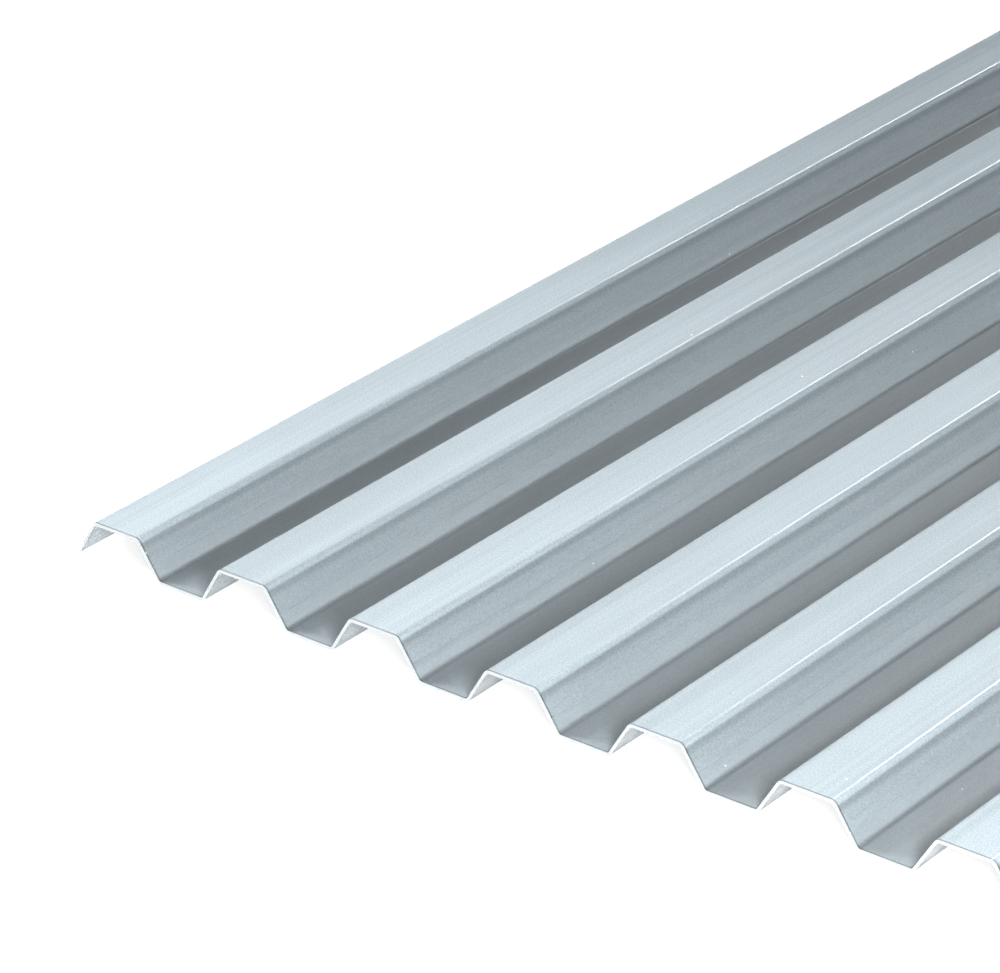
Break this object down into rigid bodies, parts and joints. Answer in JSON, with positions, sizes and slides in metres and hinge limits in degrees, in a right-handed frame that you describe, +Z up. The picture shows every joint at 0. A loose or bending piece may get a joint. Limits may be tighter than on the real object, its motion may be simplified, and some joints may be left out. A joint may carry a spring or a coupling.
{
  "type": "corrugated pvc sheet",
  "caption": "Clear bluish corrugated PVC roofing sheet with a trapezoidal profile, for carports, sheds and porch roofs.",
  "frame": {"origin": "centre of the sheet's footprint, on the plane the undersides of its valleys rest on; it lies on the underside of the middle valley", "axes": "+X across the waves, +Y along the waves, +Z up out of the crests"},
  "size_m": [1.0372, 2, 0.0194],
  "materials": {
    "clear_pvc": "gloss"
  },
  "bodies": {
    "root": {"corrugated_sheet": "clear_pvc"}
  },
  "joints": []
}
